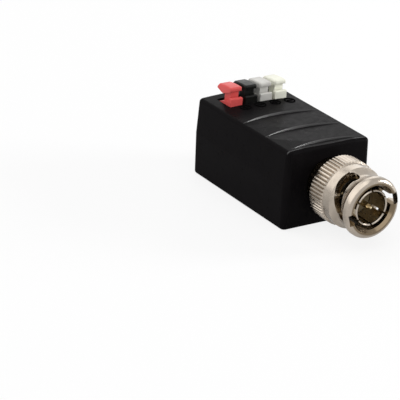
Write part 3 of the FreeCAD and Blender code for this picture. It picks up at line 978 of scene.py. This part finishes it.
class ADAPTER_OT_marks(bpy.types.Operator):
    """Raise a plain plus or minus in a ring on the roof in front of each pole"""

    bl_idname = "adapter.marks"
    bl_label = "Pole marks"

    def execute(self, context):
        settings = context.scene.adapter_marks
        case_low, case_high = corners("upper_shell")
        half = (case_high.x - case_low.x) / 2
        y = corners("terminal_base_red")[0].y - settings.distance
        matte = moulded("mark_black", (0.004, 0.004, 0.004), 0.7, 0.1 * MM, 0.004 * MM)
        shader = matte.node_tree.nodes["Principled BSDF"]
        shader.inputs["Specular IOR Level"].default_value = 0.0
        for pole, plus in zip(POLES, (True, False, True, False)):
            low, high = corners("terminal_base_" + pole)
            x = (low.x + high.x) / 2 + settings.offset
            lean = 2 * CROWN_RISE * x / half**2
            top = case_high.z - CROWN_RISE * (x / half) ** 2
            ring = self.ring(settings)
            mark = joined([self.cross(settings, plus), ring])
            mark.rotation_euler.y = math.atan(lean)
            mark.location = (x, y, top)
            settle(mark, "pole_mark_" + pole, matte, "case")
        return {"FINISHED"}

    def ring(self, settings):
        """Ring that stands on the roof, from a disc with its middle pushed down."""
        rise, sink = settings.rise, settings.rise
        deselect()
        bpy.ops.mesh.primitive_cylinder_add(
            vertices=48,
            radius=settings.radius,
            depth=rise + sink,
            location=(0, 0, (rise - sink) / 2),
        )
        open_mesh()
        pick(lambda normal, place: normal.z > 0.9)
        bpy.ops.mesh.inset(thickness=settings.stroke)
        extrude(0, 0, -rise * 1.5)
        close_mesh()
        bpy.ops.object.shade_smooth_by_angle(angle=math.radians(35))
        return bpy.context.object

    def cross(self, settings, plus):
        """Bar drawn out of a small block both ways, and crossed for a plus."""
        stroke, arm, rise = settings.stroke, settings.arm, settings.rise
        deselect()
        bpy.ops.mesh.primitive_cube_add(
            size=1.0,
            location=(0, 0, 0),
            scale=(stroke, stroke, 2 * rise),
        )
        open_mesh()
        reach = arm - stroke / 2
        for side in (-1, 1):
            pick(lambda normal, place: normal.x * side > 0.9)
            extrude(reach * side, 0, 0)
        for side in (-1, 1) if plus else ():
            pick(lambda normal, place: normal.y * side > 0.9 and abs(place.x) < stroke / 2)
            extrude(0, reach * side, 0)
        close_mesh()
        return bpy.context.object


class ADAPTER_OT_stage(bpy.types.Operator):
    """Set the floor, the soft lights, the background and the camera"""

    bl_idname = "adapter.stage"
    bl_label = "Stage"

    def execute(self, context):
        settings = context.scene.adapter_stage
        self.floor(context, settings)
        self.background(context)
        self.lights(context)
        self.camera(context, settings)
        context.scene.view_settings.view_transform = "Standard"
        return {"FINISHED"}

    def floor(self, context, settings):
        """Pale sheet that glows for the camera, less near the object, where its shadow lies."""
        deselect()
        bpy.ops.mesh.primitive_plane_add(size=3.0, location=(0, 0, 0))
        plane = context.object
        plane.name = "floor"
        material, shader = principled("floor_paper", tuple(settings.floor), 0.9)
        nodes = material.node_tree.nodes
        links = material.node_tree.links
        glow = nodes.new("ShaderNodeEmission")
        glow.inputs["Strength"].default_value = 1.0
        path = nodes.new("ShaderNodeLightPath")
        place = nodes.new("ShaderNodeTexCoord")
        length = nodes.new("ShaderNodeVectorMath")
        length.operation = "LENGTH"
        fade = nodes.new("ShaderNodeMapRange")
        fade.inputs["From Min"].default_value = 60 * MM
        fade.inputs["From Max"].default_value = 400 * MM
        fade.inputs["To Min"].default_value = 0.8
        share = nodes.new("ShaderNodeMath")
        share.operation = "MULTIPLY"
        mix = nodes.new("ShaderNodeMixShader")
        links.new(place.outputs["Object"], length.inputs[0])
        links.new(length.outputs["Value"], fade.inputs["Value"])
        links.new(fade.outputs["Result"], share.inputs[1])
        links.new(path.outputs["Is Camera Ray"], share.inputs[0])
        links.new(share.outputs["Value"], mix.inputs["Fac"])
        links.new(shader.outputs["BSDF"], mix.inputs[1])
        links.new(glow.outputs["Emission"], mix.inputs[2])
        links.new(mix.outputs["Shader"], nodes["Material Output"].inputs["Surface"])
        plane.data.materials.append(material)

    def background(self, context):
        """Dim light from all round, which the camera and reflections see as white."""
        world = bpy.data.worlds.new("studio")
        context.scene.world = world
        world.use_nodes = True
        nodes = world.node_tree.nodes
        links = world.node_tree.links
        light = nodes["Background"]
        light.inputs["Color"].default_value = (1.0, 1.0, 1.0, 1.0)
        light.inputs["Strength"].default_value = 0.3
        seen = nodes.new("ShaderNodeBackground")
        seen.inputs["Color"].default_value = (1.0, 1.0, 1.0, 1.0)
        seen.inputs["Strength"].default_value = 1.0
        path = nodes.new("ShaderNodeLightPath")
        either = nodes.new("ShaderNodeMath")
        either.operation = "MAXIMUM"
        also = nodes.new("ShaderNodeMath")
        also.operation = "MAXIMUM"
        mix = nodes.new("ShaderNodeMixShader")
        links.new(path.outputs["Is Camera Ray"], either.inputs[0])
        links.new(path.outputs["Is Glossy Ray"], either.inputs[1])
        links.new(either.outputs["Value"], also.inputs[0])
        links.new(path.outputs["Is Transmission Ray"], also.inputs[1])
        links.new(also.outputs["Value"], mix.inputs["Fac"])
        links.new(light.outputs["Background"], mix.inputs[1])
        links.new(seen.outputs["Background"], mix.inputs[2])
        links.new(mix.outputs["Shader"], nodes["World Output"].inputs["Surface"])

    def lights(self, context):
        """Square lamps aimed at the object, by place, width and power."""
        for name, place, size, power in (
            ("key_light", (-0.4, 0.05, 0.68), 1.7, 10.5),
            ("fill_light", (0.43, -0.21, 0.145), 0.16, 1.9),
            ("back_light", (0.33, 0.52, 0.30), 0.40, 0.5),
        ):
            data = bpy.data.lights.new(name, "AREA")
            data.shape = "SQUARE"
            data.size = size
            data.energy = power
            lamp = bpy.data.objects.new(name, data)
            context.collection.objects.link(lamp)
            lamp.location = place
            lamp.rotation_euler = (-Vector(place)).to_track_quat("-Z", "Y").to_euler()

    def camera(self, context, settings):
        """Camera on its line of sight, turned about that line by its roll."""
        azimuth, elevation, roll = settings.azimuth, settings.elevation, settings.roll
        back = Vector(
            (
                math.sin(azimuth) * math.cos(elevation),
                -math.cos(azimuth) * math.cos(elevation),
                math.sin(elevation),
            )
        )
        level = Vector((math.cos(azimuth), math.sin(azimuth), 0))
        upright = back.cross(level)
        right = level * math.cos(roll) + upright * math.sin(roll)
        up = upright * math.cos(roll) - level * math.sin(roll)
        data = bpy.data.cameras.new("camera")
        data.lens = settings.lens
        data.clip_start = 0.01
        camera = bpy.data.objects.new("camera", data)
        context.collection.objects.link(camera)
        turn = Matrix((right, up, back)).transposed().to_4x4()
        place = Vector(settings.aim) + back * settings.distance
        camera.matrix_world = Matrix.Translation(place) @ turn
        context.scene.camera = camera


class ADAPTER_PT_panel(bpy.types.Panel):
    """Finishes and stage of the adapter"""

    bl_idname = "ADAPTER_PT_panel"
    bl_label = "Adapter"
    bl_space_type = "VIEW_3D"
    bl_region_type = "UI"
    bl_category = "Adapter"

    def draw(self, context):
        layout = self.layout
        for group, operator in STEPS:
            box = layout.box()
            settings = getattr(context.scene, group) if group else None
            for name in settings.__annotations__ if settings else ():
                box.prop(settings, name)
            box.operator(operator)


STEPS = (
    ("adapter_case", "adapter.case"),
    ("adapter_plug", "adapter.plug"),
    ("adapter_poles", "adapter.poles"),
    (None, "adapter.board"),
    ("adapter_coil", "adapter.coil"),
    ("adapter_springs", "adapter.springs"),
    ("adapter_caps", "adapter.caps"),
    ("adapter_marks", "adapter.marks"),
    ("adapter_stage", "adapter.stage"),
)

SETTINGS = {
    "adapter_case": CaseSettings,
    "adapter_plug": PlugSettings,
    "adapter_poles": PoleSettings,
    "adapter_coil": CoilSettings,
    "adapter_springs": SpringSettings,
    "adapter_caps": CapSettings,
    "adapter_marks": MarkSettings,
    "adapter_stage": StageSettings,
}

CLASSES = (
    *SETTINGS.values(),
    ADAPTER_OT_case,
    ADAPTER_OT_plug,
    ADAPTER_OT_poles,
    ADAPTER_OT_board,
    ADAPTER_OT_coil,
    ADAPTER_OT_springs,
    ADAPTER_OT_caps,
    ADAPTER_OT_marks,
    ADAPTER_OT_stage,
    ADAPTER_PT_panel,
)


def register():
    """Adds the add-on's classes and its settings."""
    for cls in CLASSES:
        bpy.utils.register_class(cls)
    for name, group in SETTINGS.items():
        setattr(bpy.types.Scene, name, PointerProperty(type=group))


def unregister():
    """Takes the settings and classes away again."""
    for name in SETTINGS:
        delattr(bpy.types.Scene, name)
    for cls in reversed(CLASSES):
        bpy.utils.unregister_class(cls)


def main():
    """Makes everything."""
    register()
    bpy.ops.adapter.case()
    bpy.ops.adapter.plug()
    bpy.ops.adapter.poles()
    bpy.ops.adapter.board()
    bpy.ops.adapter.coil()
    bpy.ops.adapter.springs()
    bpy.ops.adapter.caps()
    bpy.ops.adapter.marks()
    bpy.ops.adapter.stage()


if __name__ == "__main__":
    main()
